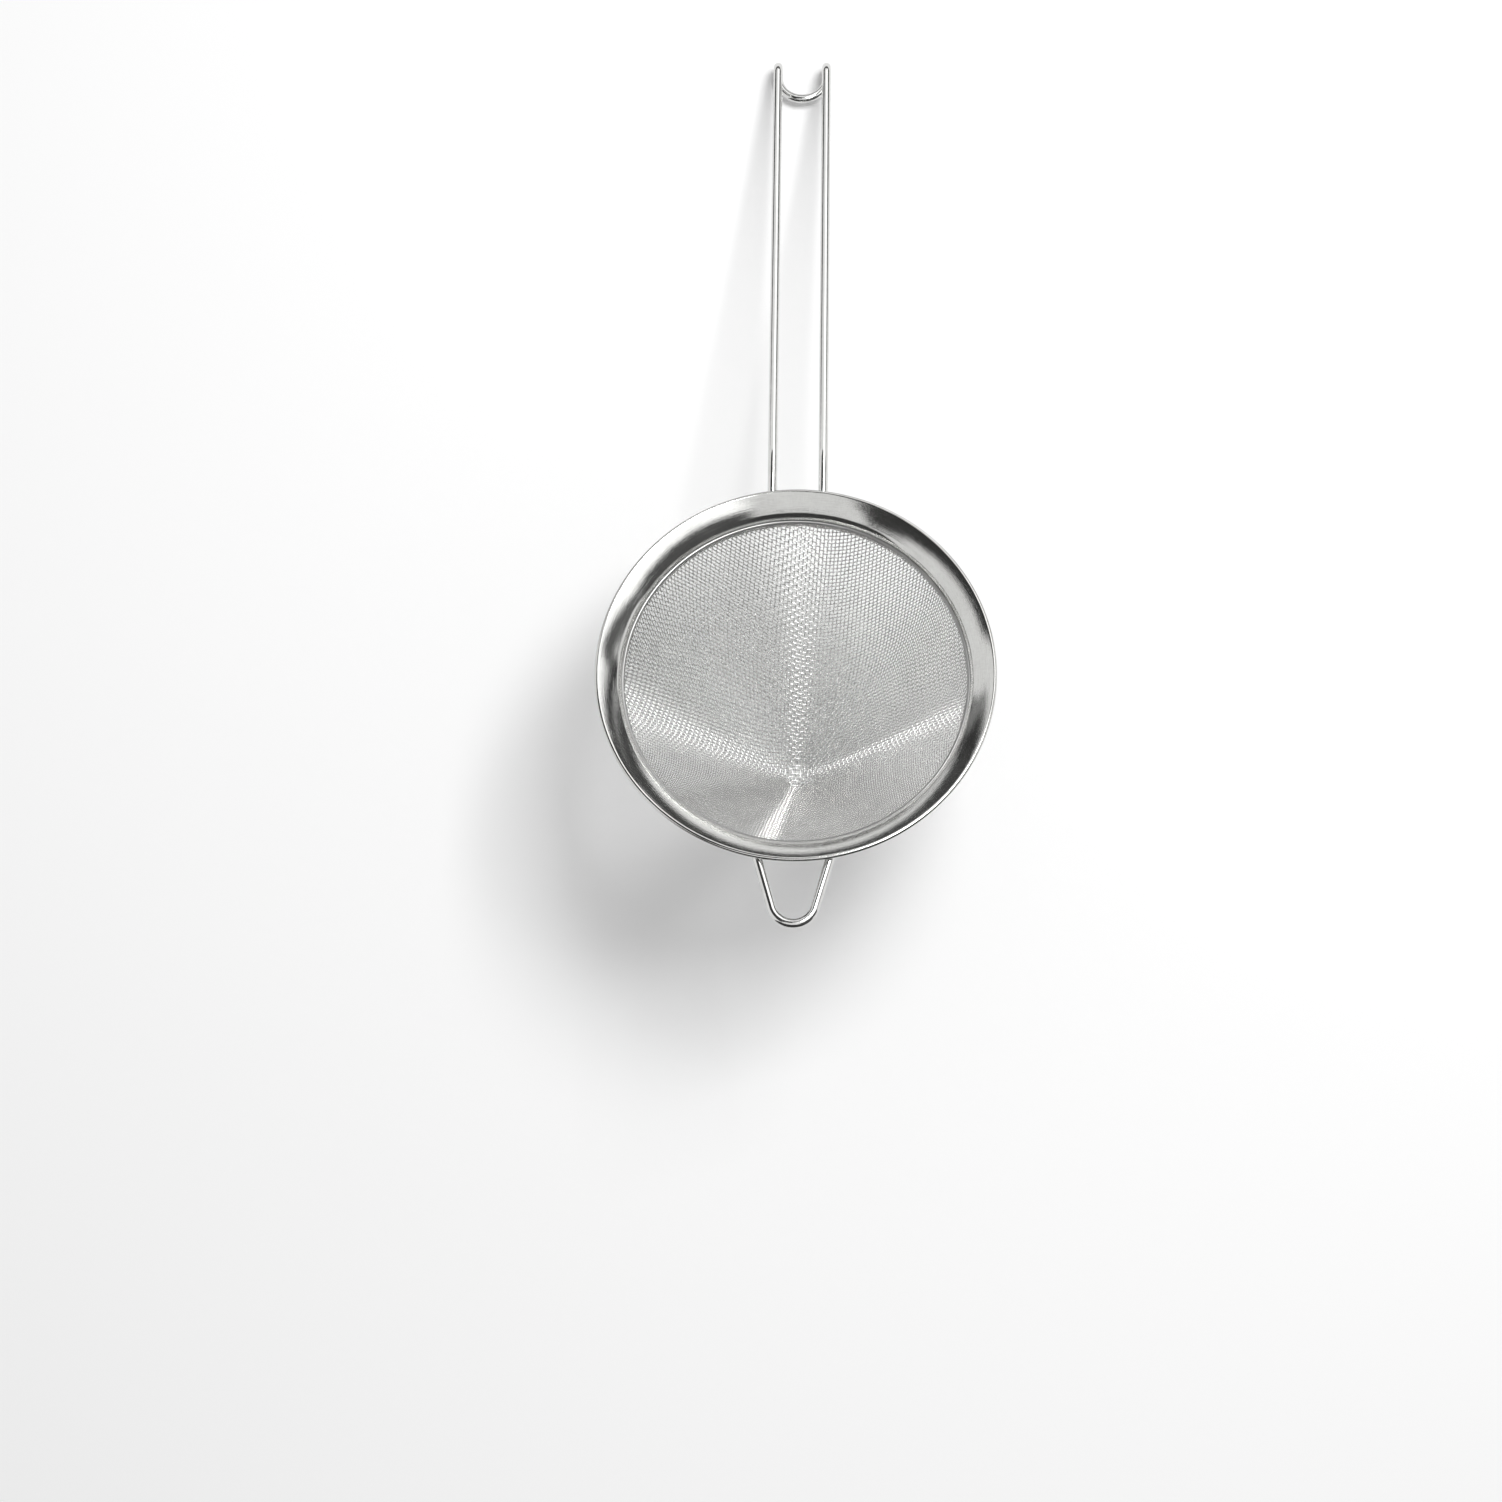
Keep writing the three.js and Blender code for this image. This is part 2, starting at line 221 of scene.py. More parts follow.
def flange_profile():
    """The flange's upper face: a short lip, a bend, a straight slope and a curve that meets the bead."""
    slope = lip_slope = half_angle
    middle = LIP_HEIGHT
    for _ in range(SLOPE_PASSES):
        moves = [
            straight(LIP_HEIGHT),
            bend(LIP_BEND, -LIP_TURN),
            straight(middle),
            (FLANGE_CURVED, -FLANGE_TURN),
        ]
        level = BentProfile(np.zeros(2), 0, moves)
        ends_at = level.at(level.length)
        reach = bead + facing(slope) * bead_radius - lip
        lip_slope = math.atan2(reach[1], reach[0]) - math.atan2(ends_at[1], ends_at[0])
        slope = lip_slope - LIP_TURN - FLANGE_TURN
        middle += np.linalg.norm(reach) - np.linalg.norm(ends_at)
    return BentProfile(lip, lip_slope, moves), slope, reach


flange, bead_slope, flange_reach = flange_profile()


def on_flange(share):
    """The slope and a point of the flange's upper face, from 0 at the lip to 1 at the bead."""
    distance = flange.length * share
    return flange.slope_at(distance), flange.at(distance)


def rounded(corners):
    """A closed outline whose corners, given with a radius, are replaced by arcs."""
    outline = []
    count = len(corners)
    for k, (corner, radius) in enumerate(corners):
        if radius == 0:
            outline.append(corner)
            continue
        to_last = corners[k - 1][0] - corner
        to_next = corners[(k + 1) % count][0] - corner
        to_last = to_last / np.linalg.norm(to_last)
        to_next = to_next / np.linalg.norm(to_next)
        half = math.acos(np.clip(to_last @ to_next, -1, 1)) / 2
        middle = to_last + to_next
        centre = corner + middle / np.linalg.norm(middle) * radius / math.sin(half)
        first = corner + to_last * radius / math.tan(half) - centre
        last = corner + to_next * radius / math.tan(half) - centre
        swing = math.pi - 2 * half
        for step in range(CORNER_STEPS + 1):
            share = step / CORNER_STEPS
            spoke = first * math.sin((1 - share) * swing) + last * math.sin(share * swing)
            outline.append(centre + spoke / math.sin(swing))
    return np.array(outline)


def rim_outline():
    """The sheet's section: skirt, step over the clamp ring, flange and rolled bead."""
    edge = SHEET * EDGE_ROUNDING
    corners = [
        (by_seat(skirt_end, skirt_inset - SHEET), edge),
        (by_seat(step_over, skirt_inset - SHEET), SHEET),
        (by_seat(step_over, STEP_INSET - SHEET), SHEET / 2),
    ]
    upper = []
    for k in range(FLANGE_STEPS + 1):
        slope, point = on_flange(k / FLANGE_STEPS)
        upper.append(point)
        if k > 1:
            corners.append((point - facing(slope) * SHEET, 0))
    curl_start = math.pi / 2 + bead_slope
    for k in range(1, BEAD_STEPS + 1):
        out = along(curl_start + (CURL_END - curl_start) * k / BEAD_STEPS)
        upper.append(bead + out * bead_radius)
        corners.append((bead + out * (bead_radius - SHEET), 0))
    corners += [(point, 0) for point in reversed(upper[2:])]
    corners += [
        (lip, edge),
        (by_seat(step_under, STEP_INSET), edge),
        (by_seat(step_under, skirt_inset), SHEET / 2),
        (by_seat(skirt_end, skirt_inset), edge),
    ]
    return rounded(corners)


# Making meshes


def unit(vectors):
    """Vectors of length 1 in the same directions."""
    return vectors / np.linalg.norm(vectors, axis=-1, keepdims=True)


def full_turn(count):
    """Even steps of one turn."""
    return np.arange(count) * 2 * math.pi / count


def piece(name, vertices, faces, finish, node=None, sharp=None):
    """A mesh in metres that rides with the strainer and may stand for one of its nodes."""
    mesh = bpy.data.meshes.new(name)
    vertices = np.asarray(vertices, float) * MM
    faces = np.asarray(faces, np.int32)
    mesh.vertices.add(len(vertices))
    mesh.vertices.foreach_set("co", vertices.astype(np.float32).ravel())
    mesh.loops.add(faces.size)
    mesh.loops.foreach_set("vertex_index", faces.ravel())
    mesh.polygons.add(len(faces))
    mesh.polygons.foreach_set("loop_start", np.arange(0, faces.size, 4, dtype=np.int32))
    mesh.update(calc_edges=True)
    mesh.polygons.foreach_set("use_smooth", np.ones(len(faces), bool))
    if sharp:
        mesh.set_sharp_from_angle(angle=sharp)
    mesh.materials.append(finish)
    made = bpy.data.objects.new(name, mesh)
    bpy.context.scene.collection.objects.link(made)
    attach(made, "root")
    if node:
        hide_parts(node)
    return made


def grid_faces(rows, columns, row_closed):
    """The faces between rows of points whose columns run round."""
    row = np.arange(rows if row_closed else rows - 1)[:, None]
    column = np.arange(columns)[None, :]
    after_row = (row + 1) % rows
    after_column = (column + 1) % columns
    quads = [
        row * columns + column,
        row * columns + after_column,
        after_row * columns + after_column,
        after_row * columns + column,
    ]
    return np.stack(quads, axis=-1).reshape(-1, 4)


def lid_faces(columns):
    """The faces that close a ring of points."""
    k = np.arange(columns // 2 - 1)
    return np.stack([k, k + 1, columns - 2 - k, columns - 1 - k], axis=-1)


def turned(name, outline, finish, node, sharp):
    """A closed outline in (r, z), turned round the Z axis."""
    turn = full_turn(RING_STEPS)
    radius = outline[:, 0]
    x = np.cos(turn)[:, None] * radius
    y = np.sin(turn)[:, None] * radius
    z = np.broadcast_to(outline[:, 1], x.shape)
    points = np.stack([x, y, z], axis=-1).reshape(-1, 3)
    faces = grid_faces(RING_STEPS, len(outline), True)
    piece(name, points, faces, finish, node, sharp)


def headings(path):
    """The directions in which a path runs at its points."""
    steps = unit(np.diff(path, axis=0))
    return unit(np.vstack([steps[:1], steps[:-1] + steps[1:], steps[-1:]]))


def wire_rings(sides, ups, count):
    """Directions round a wire, one ring of them for each point of its path."""
    turn = full_turn(count)
    ring = np.cos(turn)[:, None, None] * sides + np.sin(turn)[:, None, None] * ups
    return ring.transpose(1, 0, 2)


def swept(name, path, radius, finish, node):
    """A round wire along a path, with softly rounded ends."""
    ahead = headings(path)
    side = np.cross(ahead[0], [0, 0, 1])
    sides = []
    for direction in ahead:
        side = unit(side - direction * (side @ direction))
        sides.append(side)
    sides = np.array(sides)
    ring = wire_rings(sides, np.cross(sides, ahead), WIRE_SIDES)
    rows = [path[:, None, :] + ring * radius]
    for end, way in ((0, -1), (-1, 1)):
        caps = []
        for share in END_RINGS:
            out = math.sqrt(1 - share**2)
            centre = path[end] + ahead[end] * way * radius * END_BULGE * share
            caps.append(centre + ring[end] * radius * out)
        if way < 0:
            rows.insert(0, np.array(caps[::-1]))
        else:
            rows.append(np.array(caps))
    points = np.concatenate(rows)
    count = len(points)
    lid = lid_faces(WIRE_SIDES)
    last_lid = lid[:, ::-1] + (count - 1) * WIRE_SIDES
    faces = np.concatenate([grid_faces(count, WIRE_SIDES, False), lid, last_lid])
    outwards(piece(name, points.reshape(-1, 3), faces, finish, node))


def outwards(made):
    """Turns a closed mesh's faces outwards."""
    shape = bmesh.new()
    shape.from_mesh(made.data)
    bmesh.ops.recalc_face_normals(shape, faces=shape.faces)
    shape.to_mesh(made.data)
    shape.free()


# Bent wires: a loop drawn flat, then bent along its length to a profile in (y, z)


def wire_loop_path(profile, nose_start, half_width_at):
    """The points of a loop of wire, from one welded end round its nose to the other."""
    nose_length = profile.length - nose_start
    nose = [
        nose_start + nose_length * math.sin(k * math.pi / 2 / NOSE_STEPS) for k in range(NOSE_STEPS)
    ]
    run = [stop for stop in profile.stops if stop < nose_start - SHORTEST_STEP] + nose

    def side(sign, distance):
        y, z = profile.at(distance)
        return sign * half_width_at(distance), y, z

    y, z = profile.at(profile.length)
    left = [side(-1, distance) for distance in run]
    right = [side(1, distance) for distance in reversed(run)]
    return np.array([*left, (0, y, z), *right])


def under_rim(wire, offset, leave):
    """The start of a wire welded along the flange's underside, which then bends out under the bead."""
    slope = math.atan2(flange_reach[1], flange_reach[0])
    below = SHEET + CLEARANCE + wire / 2 + WIRE_BEND
    reach = bead_radius + CLEARANCE + wire / 2 + WIRE_BEND
    centre = lip + flange_reach / 2 - facing(slope) * below
    to_bead = bead - centre
    up = to_bead @ along(slope)
    centre = centre + along(slope) * (up - math.sqrt(up * up + reach * reach - to_bead @ to_bead))
    centre = centre + np.array([math.sqrt(bead[0] ** 2 - offset**2) - bead[0], 0])
    start = centre + facing(slope) * WIRE_BEND - along(slope) * WELD_LENGTH
    moves = [straight(WELD_LENGTH), bend(WIRE_BEND, leave - slope)]
    return start, slope, moves, centre + facing(leave) * WIRE_BEND


def handle_path():
    """The handle's wire: two legs that climb, run out straight, fold back as a hook and close in a U."""
    half = HANDLE_SPACING / 2
    start, slope, moves, end = under_rim(HANDLE_WIRE, half, HANDLE_RISE)
    knee_cut = HANDLE_KNEE * math.tan(HANDLE_RISE / 2)
    climb = (-HANDLE_WIRE / 2 - end[1]) / math.sin(HANDLE_RISE)
    knee_at = end[0] + climb * math.cos(HANDLE_RISE)
    hook_at = rim_radius + HANDLE_REACH - HOOK_RADIUS - HANDLE_WIRE / 2
    profile = BentProfile(
        start,
        slope,
        moves
        + [
            straight(climb - knee_cut),
            bend(HANDLE_KNEE, -HANDLE_RISE),
            straight(hook_at - knee_at - knee_cut),
            bend(HOOK_RADIUS, -math.pi),
            straight(HOOK_RETURN),
        ],
    )
    nose_start = profile.length - half

    def half_width_at(distance):
        return math.sqrt(max(0, half**2 - max(0, distance - nose_start) ** 2))

    return wire_loop_path(profile, nose_start, half_width_at)


def loop_path():
    """The rest loop's wire: a rounded V on the side away from the handle."""
    lean = math.tan(LOOP_FLARE)
    nose_centre = rim_radius + LOOP_REACH - LOOP_WIRE / 2 - LOOP_NOSE_RADIUS
    nose_top = nose_centre + LOOP_NOSE_RADIUS * math.sin(LOOP_FLARE)
    nose_half = LOOP_NOSE_RADIUS * math.cos(LOOP_FLARE)
    half_at_bead = nose_half + (nose_top - bead[0]) * lean
    start, slope, moves, end = under_rim(LOOP_WIRE, half_at_bead, 0)
    profile = BentProfile(start, slope, moves + [straight(nose_centre + LOOP_NOSE_RADIUS - end[0])])
    centre_at = profile.length - LOOP_NOSE_RADIUS
    nose_start = centre_at + LOOP_NOSE_RADIUS * math.sin(LOOP_FLARE)

    def half_width_at(distance):
        if distance < nose_start:
            return nose_half + (nose_start - distance) * lean
        return math.sqrt(max(0, LOOP_NOSE_RADIUS**2 - (distance - centre_at) ** 2))

    path = wire_loop_path(profile, nose_start, half_width_at)
    return path * np.array([-1, -1, 1])


def weld_bead(name, wire_end, wire_next, wire, finish):
    """A flattened, rippled weld between a wire's end and the flange above it."""
    ahead = unit(wire_next - wire_end)
    up = unit(np.array([0, 0, 1.0]) - ahead * ahead[2])
    side = np.cross(ahead, up)
    middle = wire_end + ahead * WELD_LENGTH * WELD_PLACE + up * (wire / 2 + WELD_STANDS)
    tilt = (np.arange(WELD_ROWS) + 0.5) / WELD_ROWS * math.pi
    turn = full_turn(WELD_SIDES)
    length, width, height = WELD_SIZE
    ripple = 1 + RIPPLE_DEPTH * np.sin(tilt * WELD_RIPPLES)[:, None]
    points = (
        middle
        - ahead * (np.cos(tilt) * length)[:, None, None]
        + side * (np.sin(tilt)[:, None] * np.cos(turn) * width * ripple)[..., None]
        + up * (np.sin(tilt)[:, None] * np.sin(turn) * height * ripple)[..., None]
    ).reshape(-1, 3)
    lid = lid_faces(WELD_SIDES)
    last_lid = lid[:, ::-1] + (WELD_ROWS - 1) * WELD_SIDES
    faces = np.concatenate([grid_faces(WELD_ROWS, WELD_SIDES, False), lid, last_lid])
    outwards(piece(name, points, faces, finish))


# The cloth: a plain weave laid on the cone, as drawn wire cloth lies

tip_arc = TIP_RADIUS * (math.pi / 2 - half_angle)
tip_centre = np.array([0, TIP_RADIUS - CONE_DEPTH])
tip_rim = tip_centre - inward * TIP_RADIUS
edge_slant = tip_arc + np.linalg.norm(tip_rim - seat)
crowded = (1 - WEAVE_GATHER) * math.sin(half_angle)
weave_stretch = math.sqrt(2 - crowded * crowded) - 1


def eased(share):
    """From 0 at 0 to 1 at 1 and beyond, with soft ends."""
    share = np.clip(share, 0, 1)
    return share * share * (3 - 2 * share)


def cloth_place(a, b):
    """The turn and slant on the cone of points of the flat cloth."""
    reach = np.hypot(a, b)
    angle = np.arctan2(b, a)
    drawn = eased(reach / GATHER_REACH)
    settled = eased(reach / WEAVE_SETTLES)
    turn = angle + WEAVE_TURN + drawn * WEAVE_GATHER * np.sin(4 * angle) / 4
    turn = turn + settled * (WEAVE_LEAN * np.cos(2 * angle) + WEAVE_SAG * np.cos(angle))
    slant = reach * (1 + drawn * weave_stretch * np.sin(2 * angle) ** 2)
    return turn, slant


def on_cone(turn, slant):
    """Points on the cone and the directions that point in from the cloth there."""
    tilt = np.clip(slant, 0, tip_arc) / TIP_RADIUS
    on_tip = slant < tip_arc
    normal_r = np.where(on_tip, -np.sin(tilt), inward[0])
    normal_z = np.where(on_tip, np.cos(tilt), inward[1])
    down = tip_arc - slant
    r = np.where(on_tip, tip_centre[0] - normal_r * TIP_RADIUS, tip_rim[0] + down_cone[0] * down)
    z = np.where(on_tip, tip_centre[1] - normal_z * TIP_RADIUS, tip_rim[1] + down_cone[1] * down)
    points = np.stack([r * np.cos(turn), r * np.sin(turn), z], axis=-1)
    normals = np.stack([normal_r * np.cos(turn), normal_r * np.sin(turn), normal_z], axis=-1)
    return points, normals


def cloth_wires(across, part):
    """Points and faces of one direction's wires on one part of the cloth, each over and under in turn."""
    limit = edge_slant - cloth_top - WEAVE_WIRE
    most = math.ceil(limit / WEAVE_PITCH)
    steps = np.arange(-2 * most, 2 * most + 1) / 2
    lid = lid_faces(WEAVE_SIDES)
    points, faces = [], []
    first = 0
    for number in range(-most, most + 1):
        if not WEAVE_PARTS[part] <= number / most < WEAVE_PARTS[part + 1]:
            continue
        place = np.full(len(steps), float(number))
        a, b = (place, steps) if across else (steps, place)
        turn, slant = cloth_place((a + 0.5) * WEAVE_PITCH, (b + 0.5) * WEAVE_PITCH)
        kept = slant <= limit
        if kept.sum() < WEAVE_LEAST:
            continue
        middle, normal = on_cone(turn[kept], slant[kept])
        over = np.cos((steps[kept] + number) * math.pi) * (1 if across else -1)
        middle = middle + normal * (over * WEAVE_WIRE / 2 + WEAVE_LIFT)[:, None]
        ahead = headings(middle)
        up = unit(normal - ahead * (normal * ahead).sum(axis=1, keepdims=True))
        ring = wire_rings(np.cross(ahead, up), up, WEAVE_SIDES)
        rows = middle[:, None, :] + ring * WEAVE_WIRE / 2
        points.append(rows.reshape(-1, 3))
        faces.append(grid_faces(len(middle), WEAVE_SIDES, False) + first)
        faces.append(lid[:, ::-1] + first)
        faces.append(lid + first + (len(middle) - 1) * WEAVE_SIDES)
        first += len(middle) * WEAVE_SIDES
    return np.concatenate(points), np.concatenate(faces)


# Shaders: sums and products of sockets are written as expressions

NOISE_ROUGHNESS = 0.6


class Shade:
    """A socket of a node tree. Sums and products with it add Math nodes."""

    def __init__(self, tree, socket=None):
        self.tree = tree
        self.socket = socket

    def node(self, kind, settings=None, sockets=None, output=0):
        """Adds a node: first its settings, then the values or links of its sockets."""
        made = self.tree.nodes.new(kind)
        for name, value in (settings or {}).items():
            setattr(made, name, value)
        for name, value in (sockets or {}).items():
            if isinstance(value, Shade):
                self.tree.links.new(value.socket, made.inputs[name])
            else:
                made.inputs[name].default_value = value
        return Shade(self.tree, made.outputs[output] if made.outputs else None)

    def maths(self, operation, *values):
        """A Math node on these values."""
        return self.node("ShaderNodeMath", {"operation": operation}, dict(enumerate(values)))

    def __add__(self, other):
        return self.maths("ADD", self, other)

    def __radd__(self, other):
        return self.maths("ADD", other, self)

    def __mul__(self, other):
        return self.maths("MULTIPLY", self, other)

    def __rmul__(self, other):
        return self.maths("MULTIPLY", other, self)

    def clamped(self, low, high):
        """0 at low, 1 at high and even between."""
        return self.node("ShaderNodeMapRange", {"clamp": True}, {0: self, 1: low, 2: high, 3: 0.0, 4: 1.0})

    def place(self):
        """Where a point lies on its piece."""
        return self.node("ShaderNodeTexCoord", output="Object")

    def noise(self, place, scale, detail, stretch=(1, 1, 1)):
        """Noise at a place, whose grains are longer where stretch is small."""
        mapped = self.node("ShaderNodeMapping", None, {"Vector": place, "Scale": stretch})
        sockets = {"Vector": mapped, "Scale": scale, "Detail": detail, "Roughness": NOISE_ROUGHNESS}
        return self.node("ShaderNodeTexNoise", None, sockets)

    def mixed_colour(self, dark, light):
        """A colour between two, by this value."""
        sockets = {0: self, 6: (*dark, 1), 7: (*light, 1)}
        return self.node("ShaderNodeMix", {"data_type": "RGBA"}, sockets, 2)

    def bump(self, strength, depth):
        """Small heights by this value."""
        return self.node("ShaderNodeBump", None, {"Strength": strength, "Distance": depth, "Height": self})


def new_material(name):
    """An empty material, and a shade to build its nodes from."""
    made = bpy.data.materials.new(name)
    made.use_nodes = True
    made.node_tree.nodes.clear()
    return made, Shade(made.node_tree)


def as_metal(made, shade, sockets):
    """Ends a material as bare metal."""
    surface = shade.node("ShaderNodeBsdfPrincipled", None, {"Metallic": 1.0, **sockets})
    shade.node("ShaderNodeOutputMaterial", None, {"Surface": surface})
    return made


def polished_rim():
    """Pressed and polished sheet: fine turning marks round the rim and crossing rub marks."""
    made, shade = new_material("polished_rim")
    place = shade.place()
    apart = shade.node("ShaderNodeSeparateXYZ", None, {0: place})
    x, y, z = (Shade(shade.tree, socket) for socket in apart.socket.node.outputs)
    turn = shade.maths("ARCTAN2", y, x)
    radius = shade.maths("SQRT", x * x + y * y)
    round_rim = shade.node("ShaderNodeCombineXYZ", None, {0: turn * 0.07, 1: radius, 2: z})
    marks = shade.noise(round_rim, scale=900, detail=3, stretch=(0.12, 4, 4))
    rubs = shade.noise(place, scale=700, detail=4, stretch=(3, 0.35, 1))
    cross = shade.noise(place, scale=700, detail=4, stretch=(0.35, 3, 1))
    cloud = shade.noise(place, scale=45, detail=3)
    wear = marks * 0.4 + rubs * 0.3 + cross * 0.3
    return as_metal(
        made,
        shade,
        {
            "Base Color": (wear * 0.6 + cloud * 0.4).clamped(0.3, 0.7).mixed_colour(
                (0.50, 0.50, 0.485), (0.68, 0.68, 0.665)
            ),
            "Roughness": 0.04 + wear.clamped(0.35, 0.7) * 0.08 + cloud.clamped(0.35, 0.7) * 0.03,
            "Normal": wear.bump(strength=0.2, depth=0.0002),
        },
    )


def clamp_steel_painted_shade():
    """Drawn hoop, a little rougher than the rim. Its colour is painted much darker than the rim's: painted
    shade of the groove between flange and cloth.
    """
    made, shade = new_material("clamp_steel_painted_shade")
    place = shade.place()
    grain = shade.noise(place, scale=900, detail=3)
    cloud = shade.noise(place, scale=80, detail=2)
    return as_metal(
        made,
        shade,
        {
            # Painted shade: the hoop's dark base colour stands in for the shade in its groove, not for the
            # steel's own tone.
            "Base Color": cloud.clamped(0.3, 0.7).mixed_colour((0.28, 0.28, 0.275), (0.36, 0.36, 0.355)),
            "Roughness": 0.28 + grain * 0.14,
            "Normal": grain.bump(strength=0.1, depth=0.0001),
        },
    )


def bright_wire():
    """Drawn wire: long fine streaks along it and a few rubbed patches."""
    made, shade = new_material("bright_wire")
    place = shade.place()
    streaks = shade.noise(place, scale=1400, detail=2, stretch=(1, 0.02, 1))
    rubs = shade.noise(place, scale=300, detail=4)
    return as_metal(
        made,
        shade,
        {
            "Base Color": (streaks * 0.6 + rubs * 0.4).clamped(0.3, 0.7).mixed_colour(
                (0.60, 0.60, 0.59), (0.72, 0.72, 0.71)
            ),
            "Roughness": 0.05 + streaks.clamped(0.35, 0.7) * 0.06 + rubs.clamped(0.45, 0.7) * 0.06,
            "Normal": streaks.bump(strength=0.05, depth=0.0001),
        },
    )


def woven_wire():
    """Fine cloth wire: satin, with a slight change from wire to wire."""
    made, shade = new_material("woven_wire")
    place = shade.place()
    cloud = shade.noise(place, scale=60, detail=2)
    grain = shade.noise(place, scale=1500, detail=2)
    return as_metal(
        made,
        shade,
        {
            "Base Color": (cloud * 0.5 + grain * 0.5).clamped(0.3, 0.7).mixed_colour(
                (0.70, 0.70, 0.69), (0.82, 0.82, 0.81)
            ),
            "Roughness": 0.2 + grain * 0.08,
        },
    )


def weld_metal():
    """Weld: rough and a little browned by heat."""
    made, shade = new_material("weld_metal")
    place = shade.place()
    tint = shade.noise(place, scale=350, detail=3)
    grain = shade.noise(place, scale=1800, detail=3)
    return as_metal(
        made,
        shade,
        {
            "Base Color": tint.clamped(0.35, 0.65).mixed_colour((0.36, 0.33, 0.29), (0.55, 0.54, 0.51)),
            "Roughness": 0.32 + grain * 0.2,
            "Normal": grain.bump(strength=0.25, depth=0.0002),
        },
    )


# The strainer

rim_finish = polished_rim()
clamp_finish_painted_shade = clamp_steel_painted_shade()
wire_finish = bright_wire()
cloth_finish = woven_wire()
weld_finish = weld_metal()

turned("rim_ring_sheet", rim_outline(), rim_finish, "rim_ring", SHARP_EDGE)

hoop_turn = full_turn(HOOP_SIDES)
hoop_centre = by_seat(0, EDGE_THICKNESS / 2 + CLEARANCE + hoop_radius)
hoop = hoop_centre + np.stack([np.cos(hoop_turn), np.sin(hoop_turn)], axis=-1) * hoop_radius
turned("clamp_ring_hoop", hoop, clamp_finish_painted_shade, "clamp_ring", None)

for across in (True, False):
    for part in range(len(WEAVE_PARTS) - 1):
        name = f"mesh_cone_{'warp' if across else 'weft'}_{part + 1}"
        points, faces = cloth_wires(across, part)
        piece(name, points, faces, cloth_finish, "mesh_cone")

handle = handle_path()
swept("handle_wire", handle, HANDLE_WIRE / 2, wire_finish, "handle")
rest_loop = loop_path()
swept("rest_loop_wire", rest_loop, LOOP_WIRE / 2, wire_finish, "rest_loop")
for name, path, wire in (("handle", handle, HANDLE_WIRE), ("rest_loop", rest_loop, LOOP_WIRE)):
    weld_bead(f"{name}_weld_left", path[0], path[1], wire, weld_finish)
    weld_bead(f"{name}_weld_right", path[-1], path[-2], wire, weld_finish)


# The stage: a pale wall that the strainer hangs on by its hook, touched by the cone's tip

WALL_TILT = math.radians(20.65)
WALL_DEPTH = 0.1112  # from the rim's middle
WALL_RADIUS = 0.75
WALL_FADES_FROM = 0.55
WALL_GONE_AT = 0.735
WALL_PAINT = (0.94, 0.94, 0.94, 1)
wall_out = Vector((0, -math.sin(WALL_TILT), math.cos(WALL_TILT)))
wall_up = Vector((0, math.cos(WALL_TILT), math.sin(WALL_TILT)))
wall_right = Vector((1, 0, 0))


def by_wall(right, up, out):
    """A place by its distances from the rim's middle to the right, up and out from the wall."""
    return wall_right * right + wall_up * up + wall_out * out


def pale_wall():
    """White paint. The wall's edge fades out, and its back is clear, so that other views see past it."""
    made, shade = new_material("pale_wall")
    far = shade.node("ShaderNodeVectorMath", {"operation": "LENGTH"}, {0: shade.place()}, "Value")
    back = shade.node("ShaderNodeNewGeometry", output="Backfacing")
    clear = shade.maths("MAXIMUM", far.clamped(WALL_FADES_FROM, WALL_GONE_AT), back)
    paint = shade.node("ShaderNodeBsdfDiffuse", None, {"Color": WALL_PAINT})
    nothing = shade.node("ShaderNodeBsdfTransparent")
    shown = shade.node("ShaderNodeMixShader", None, {0: clear, 1: paint, 2: nothing})
    shade.node("ShaderNodeOutputMaterial", None, {"Surface": shown})
    return made


def plain_sheet(name, width, height, finish):
    """A flat sheet of the stage."""
    mesh = bpy.data.meshes.new(name)
    w, h = width / 2, height / 2
    mesh.from_pydata([(-w, -h, 0), (w, -h, 0), (w, h, 0), (-w, h, 0)], [], [(0, 1, 2, 3)])
    mesh.materials.append(finish)
    made = bpy.data.objects.new(name, mesh)
    bpy.context.scene.collection.objects.link(made)
    return made


wall = plain_sheet("pale_wall", 2 * WALL_RADIUS, 2 * WALL_RADIUS, pale_wall())
wall.location = by_wall(0, 0, -WALL_DEPTH)
wall.rotation_euler = (WALL_TILT, 0, 0)


def glowing_card(name, width, height, brightness):
    """A glowing card that shows only in the metal: a painted reflection, which lights nothing, casts no
    shadow and is not seen straight.
    """
    made, shade = new_material(name)
    glow = shade.node("ShaderNodeEmission", None, {"Color": (1, 1, 1, 1), "Strength": brightness})
    shade.node("ShaderNodeOutputMaterial", None, {"Surface": glow})
    card = plain_sheet(name, width, height, made)
    card.visible_camera = False
    card.visible_diffuse = False
    card.visible_shadow = False
    card.visible_transmission = False
    return card


def studio_card(name, aside, above, distance, wide, high, brightness, roll=0):
    """A card that faces the rim's middle. Its place and size are angles as seen from there, in degrees
    from the wall's outward line: to the right, upwards, across and along."""
    width, height = (2 * distance * math.tan(math.radians(angle / 2)) for angle in (wide, high))
    card = glowing_card(name, width, height, brightness)
    angle = math.radians(math.hypot(aside, above))
    heading = math.atan2(above, aside)
    across = math.sin(angle)
    towards = by_wall(across * math.cos(heading), across * math.sin(heading), math.cos(angle))
    card.location = towards * distance
    side = wall_up.cross(-towards).normalized()
    upright = Matrix((side, (-towards).cross(side), -towards)).transposed().to_quaternion()
    card.rotation_mode = "QUATERNION"
    card.rotation_quaternion = upright @ Quaternion((0, 0, 1), math.radians(roll))


# Painted reflections round the camera, by how bright they are: dark and grey cards, and a soft box that
# glows in the metal but lights nothing

DARK = 0.06
SHADED = 0.09
DUSKY = 0.1
DIM = 0.16
GREY = 0.3
BRIGHT = 1.8

